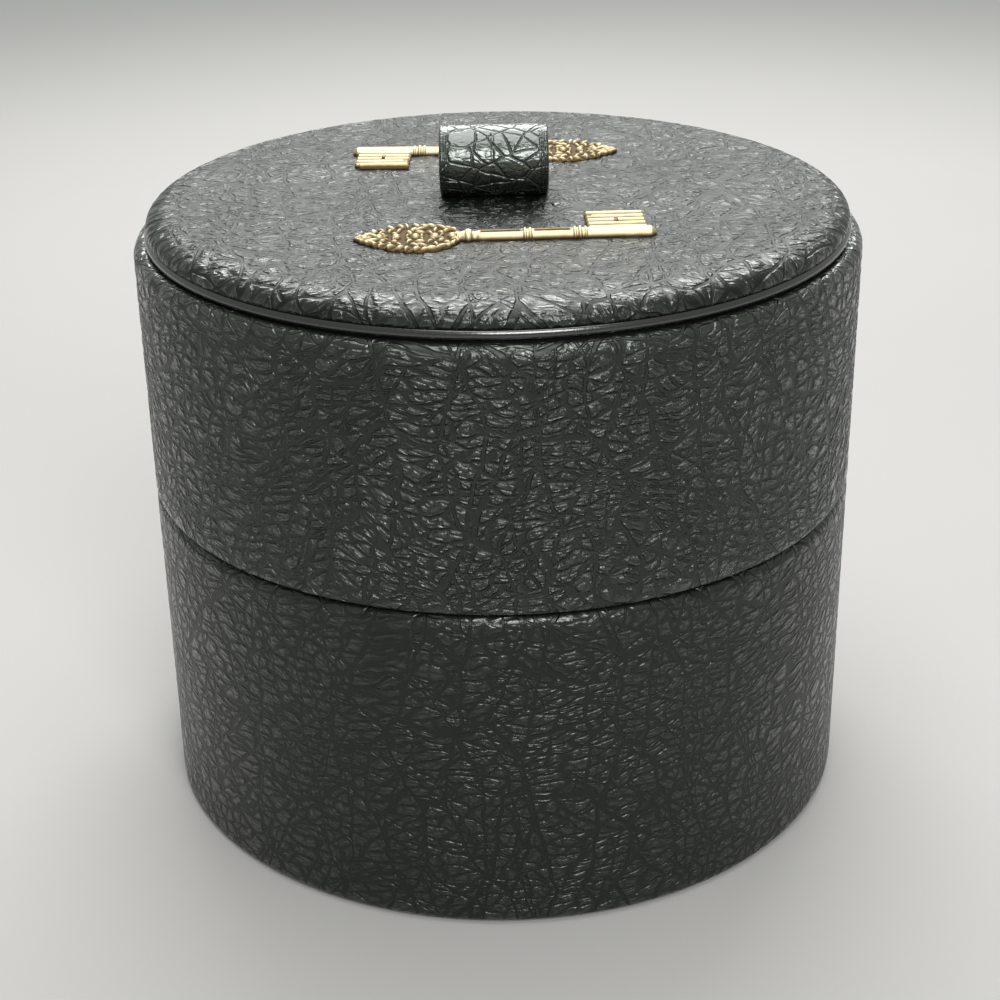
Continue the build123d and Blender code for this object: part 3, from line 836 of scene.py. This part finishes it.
def stem():
    """The stem: a low round bar whose half width and height change along it at the ring,
    the two double collars and the end, with a flute along the top between collars."""
    bar, rise = 2.05, 0.74
    x = np.concatenate([np.linspace(21.8, 63.0, 330), np.linspace(63.05, 63.98, 16)])
    half = np.full_like(x, bar)
    # The ring and the collars: place along the key, swell and half length
    for middle, swell, wide in (
        (24.2, 0.45, 0.75),
        (36.1, 0.4, 0.35),
        (37.2, 0.4, 0.35),
        (46.6, 0.4, 0.35),
        (47.7, 0.5, 0.4),
        (48.9, 0.35, 0.3),
    ):
        half = half + swell * np.clip(1 - ((x - middle) / wide) ** 2, 0, 1) ** 0.5
    waist = np.exp(-(((x - 25.6) / 0.7) ** 2)) + np.exp(-(((x - 22.4) / 0.7) ** 2))
    half = (half - 0.35 * waist) * np.sqrt(np.clip((key_length - x) / 1.2, 0.02, 1))
    across = np.linspace(-1, 1, 41)[None, :]
    y = across * half[:, None]
    flute = ((x > 26.6) & (x < 35.4)) | ((x > 38.0) & (x < 45.8))
    flute = np.convolve(flute, np.ones(5) / 5, "same")[:, None]
    bulge = np.sqrt(np.clip(1 - across**2, 0, 1))
    sunk = flute * np.clip(1 - ((across + 0.05) / 0.45) ** 2, 0, 1) ** 0.5
    # Painted shadow along the far edge of each flute, taken off the shine
    flute_shadow = flute * np.exp(-(((across - 0.3) / 0.2) ** 2))
    height = rise * half[:, None] * bulge - 0.5 * sunk
    inside = np.ones((len(x) - 1, 40), bool)
    shine = bulge * 1.6 - 0.9 * sunk - flute_shadow
    return relief_plate(np.broadcast_to(x[:, None], y.shape), y, height, inside, shine)


key_parts = [bow_plate(), stem(), bit_plate()]
starts = np.cumsum([0] + [len(points) for points, _ in key_parts])
key_points = np.concatenate([points for points, _ in key_parts])
key_faces = np.concatenate([faces + start for (_, faces), start in zip(key_parts, starts)])
for node, side in (("front_key", -1), ("rear_key", 1)):
    along = np.array([-side * np.cos(radians(key_turn)), np.sin(radians(key_turn))])
    beside = np.array([-along[1], along[0]])
    middle = loop_middle[:2] + side * np.array([-key_shift, key_apart])
    flat = middle + (key_points[:, :1] - key_length / 2) * along + key_points[:, 1:2] * beside
    points = np.concatenate([flat, key_seat + key_points[:, 2:3]], 1)
    casting = put_together(f"{node}_casting", points, key_faces.tolist())
    set_shares(casting, "shine", key_points[:, 3])
    casting.data.materials.append(brass)
    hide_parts(node)
    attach(casting, "lid")


# Lid flange and the leather under the upper tier's floor
# Smooth black calf, pared thin and rolled tight round the lid board's edge. It has no
# grain but faint pores, and shines where the edge was burnished with a hot iron.

smooth_leather, tree = new_material("smooth_black_leather")
place = add(tree, "TexCoord").outputs["Object"]
pores = add(tree, "TexNoise", {"Vector": place, "Scale": 1400.0, "Detail": 3.0})
waves = add(tree, "TexNoise", {"Vector": place, "Scale": 90.0, "Detail": 2.0})
height = add(tree, "Math", {0: waves, 1: 2.0, 2: pores}, operation="MULTIPLY_ADD")
toned_finish(
    tree, waves, "#0c0e0b", "#1a1e17", height,
    strength=0.5, depth=0.00008, Roughness=0.22, Specular_IOR_Level=0.8, Coat_Weight=0.8,
    Coat_Roughness=0.12,
)
dress("upper_underside", smooth_leather)

flange_reach, flange_inner = 79.8, 74.0
flange_low, flange_high = 135.5, 137.9
flange_nose = 1.15
pared = 0.6
board_reach = flange_reach - 2 * pared
corners = [
    (flange_inner, flange_low),
    (flange_reach, flange_low),
    (flange_reach, flange_high),
    (flange_inner, flange_high),
    (flange_inner, flange_high - pared),
    (board_reach, flange_high - pared),
    (board_reach, flange_low + pared),
    (flange_inner, flange_low + pared),
]
rounds = [0, flange_nose, flange_nose, 0, 0, 0, 0, 0]
spacings = [2.5, 0.15, 0.15, 0.6, 2.5, 0.6, 2.5, 0.6]
profile, lengths = along_profile(corners, rounds, spacings)
share = np.zeros(len(profile))
rolled = turned_skin("flange_skin", profile, lengths, share, around=720, seed=3)
rolled.data.materials.append(smooth_leather)
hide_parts("lid_flange")
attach(rolled, "lid")


# Neck, plug and foot
# The board rings that the tiers and lid are centred by are faced with black lining
# paper, laid and faintly ribbed. The foot is a disc of duller, paler paper of that kind.

def paper(name, dark, light, rough):
    """Sized paper: laid lines 0.8 mm apart, a cloudy tone and short fibres."""
    material, tree = new_material(name)
    place = add(tree, "TexCoord").outputs["Object"]
    cloud = add(tree, "TexNoise", {"Vector": place, "Scale": 150.0, "Detail": 5.0})
    lines = {"Vector": place, "Scale": 390.0, "Distortion": 1.5, "Detail": 2.0}
    laid = add(tree, "TexWave", lines, bands_direction="Z")
    height = add(tree, "Math", {0: laid.outputs["Fac"], 1: 0.4, 2: cloud}, operation="MULTIPLY_ADD")
    toned_finish(tree, cloud, dark, light, height, strength=0.5, depth=0.00008, Roughness=rough)
    return material


lining_paper = paper("black_lining_paper", "#161514", "#242321", 0.5)
dress("lower_neck", lining_paper)
dress("lid_plug", lining_paper)
dress("base_cover", paper("dark_foot_paper", "#1f1d1b", "#2f2c29", 0.85))


# Satin linings of the two tiers
# Claret acetate satin pasted on thin card and sprung into each tier. The card's ends meet
# at the back, and the satin is drawn tight with faint upright ripples.

# Threads drawn 0.35 mm apart, about three times the real ones so that they show, a slubby
# tone along them, and the soft sheen of their long floats
claret_satin, tree = new_material("claret_acetate_satin")
weave = add(tree, "UVMap", uv_map="grain")
slub = add(tree, "Mapping", {"Vector": weave, "Scale": (0.25, 2.2, 1.0)})
slubs = add(tree, "TexNoise", {"Vector": slub, "Scale": 1.0, "Detail": 4.0})
lines = {"Vector": weave, "Scale": 0.9, "Distortion": 1.2, "Detail": 1.0}
threads = add(tree, "TexWave", lines, bands_direction="Y")
height = add(tree, "Math", {0: threads.outputs["Fac"], 1: 0.5, 2: slubs}, operation="MULTIPLY_ADD")
toned_finish(
    tree, slubs, "#5c1420", "#8d2a36", height,
    strength=0.6, depth=0.0001, Roughness=0.38, Sheen_Weight=0.35, Sheen_Roughness=0.35,
    Sheen_Tint=linear("#e8a0a8"),
)

lining_inner, lining_outer, lining_around = 77.3, 78.75, 480
ripple_counts, ripple_depth = (17, 29, 41, 53, 71), 0.12
lower_floor, lower_hem = 4.35, 64.7
upper_floor, upper_hem = 89.05, 123.1


def lining(name, low, high, seed):
    """The lining of one tier: a closed band with a rounded top hem, turned round Z, whose
    face ripples by a sum of five waves with the angle."""
    corners = [
        (lining_inner, low),
        (lining_outer, low),
        (lining_outer, high),
        (lining_inner, high),
    ]
    profile, lengths = along_profile(corners, [0, 0, 0.3, 0.7], [0.5, 2.0, 0.5, 2.0])
    dice = np.random.default_rng(seed)
    turn = (np.linspace(0, tau, lining_around + 1) + tau / 4)[:, None]
    ripple = sum(np.cos(count * turn + dice.uniform(0, tau)) / 5 for count in ripple_counts)
    face = np.clip((lining_outer - 0.4 - profile[:, 0]) / 0.6, 0, 1)
    middle = np.sin(np.clip((profile[:, 1] - low) / (high - low), 0, 1) * tau / 2) ** 0.5
    radius = profile[:, 0] + ripple_depth * ripple[:-1] * (face * middle)
    weave = np.stack(np.broadcast_arrays(turn * lining_inner, lengths), -1)
    made = turned_band(name, radius, profile[:, 1], turn[:-1], weave)
    made.data.materials.append(claret_satin)
    return made


lower_satin = lining("lower_satin_lining", lower_floor, lower_hem, 31)
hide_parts("lower_lining")
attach(lower_satin, "lower_tier")
upper_satin = lining("upper_satin_lining", upper_floor, upper_hem, 32)
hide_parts("upper_lining")
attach(upper_satin, "upper_tier")


# Floor pads, lid lining and wadding
# The floor of each tier and the underside of the lid are satin gathered over wadding on
# a card. Plain wadding also fills the top of the lid.

pad_grid = 161
pad_gather, pad_puff = 0.3, 0.7
pad_reach, pad_run, pad_drop = 76.95, 6.0, 2.4
pad_face, pad_card, pad_tuck = 2.7, 0.75, 0.4

# Of the lid's pad and wadding: reach, height of the face, run and drop of its round edge
lid_pad, lid_pad_back = (73.9, 133.8, 5.0, 1.6), 135.7
wadding, wadding_seat = (78.25, 141.35, 6.0, 2.6), 140.15


def round_piece(name, upper, lower, gather=0.0, puff=0.0, flesh=0.0):
    """A closed round piece. upper and lower are profiles of radius and height from the
    middle to the same rim, walked by equal shares. Near the rim both rise and fall by
    gather with the angle, in 31 folds with 53 finer ones on them, as drawn cloth does.
    puff crowns them with slow waves, as wadding does under cloth, and flesh roughens."""
    flat_x, flat_y = round_grid(pad_grid)
    share = np.hypot(flat_x, flat_y)
    near = np.maximum(share, 1e-6)
    angle = np.arctan2(flat_y, flat_x)
    folds = np.sin(angle * 31 + 1.3 * np.sin(angle * 5)) + 0.6 * np.sin(angle * 53)
    drawn = np.clip((share - 0.5) / 0.4, 0, 1) ** 2 * np.clip((1 - share) / 0.04, 0, 1)
    rough = np.sin(flat_x * 190 + 3 * np.sin(flat_y * 70)) * np.sin(flat_y * 170)
    waves = 0.7 + 0.2 * np.sin(flat_x * 5 + 1) + 0.1 * np.sin(flat_y * 8 + flat_x * 3)
    crown = puff * (1 - share**2) * waves
    full = gather * folds * drawn + flesh * rough * (share < 0.98) + crown
    sides = []
    for profile, away in ((upper, 1.0), (lower, -1.0)):
        radius, height, _ = at_share(profile, share)
        height = height + away * full
        sides.append(np.stack([flat_x / near * radius, flat_y / near * radius, height], -1))
    index = np.arange(pad_grid**2).reshape(pad_grid, pad_grid)
    inner = np.pad(np.ones((pad_grid - 2, pad_grid - 2), bool), 1)
    under = index.copy()
    under[inner] = pad_grid**2 + np.arange(inner.sum())
    points = np.concatenate([sides[0].reshape(-1, 3), sides[1][inner]])
    cells = cell_corners(pad_grid - 1, pad_grid - 1)
    quads = [[index[cell] for cell in cells], [under[cell] for cell in cells[::-1]]]
    faces = np.concatenate([np.stack(quad, -1).reshape(-1, 4) for quad in quads])
    return put_together(name, points, faces.tolist(), points[faces][..., :2].reshape(-1, 2))


for name, node, body, base in (
    ("lower_pad", "lower_floor_pad", "lower_tier", lower_floor),
    ("upper_pad", "upper_floor_pad", "upper_tier", upper_floor),
):
    face = bent(pad_reach, base + pad_face, pad_run, pad_drop)
    rim = face[-1]
    seat = [(0, base + pad_card), (rim[0] - pad_tuck, base), rim]
    made = round_piece(name, face, seat, pad_gather, pad_puff)
    made.data.materials.append(claret_satin)
    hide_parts(node)
    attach(made, body)

face = bent(*lid_pad, way=-1)
rim = face[-1]
back = [(0, lid_pad_back), (rim[0] - pad_tuck, lid_pad_back + 0.3), rim]
made = round_piece("lid_satin_pad", back, face, gather=0.12, puff=0.25)
made.data.materials.append(claret_satin)
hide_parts("lid_lining")
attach(made, "lid")

# Bleached cotton: matt tufts a few millimetres wide, and fibres that stand up from them
cotton, tree = new_material("cotton_wadding")
place = add(tree, "TexCoord").outputs["Object"]
tufts = add(tree, "TexNoise", {"Vector": place, "Scale": 160.0, "Detail": 6.0})
fibres = add(tree, "TexNoise", {"Vector": place, "Scale": 900.0, "Detail": 3.0, "Distortion": 2.0})
height = add(tree, "Math", {0: tufts, 1: 2.0, 2: fibres}, operation="MULTIPLY_ADD")
toned_finish(
    tree, tufts, "#cfc7b6", "#ebe6da", height,
    strength=0.8, depth=0.0004, Roughness=0.95, Sheen_Weight=0.3,
)
crown = bent(*wadding)
under = [(0, wadding_seat), (77.3, wadding_seat), (77.4, 138.7), crown[-1]]
made = round_piece("lid_cotton_wadding", crown, under, flesh=0.08)
made.data.materials.append(cotton)
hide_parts("lid_wadding")
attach(made, "lid")
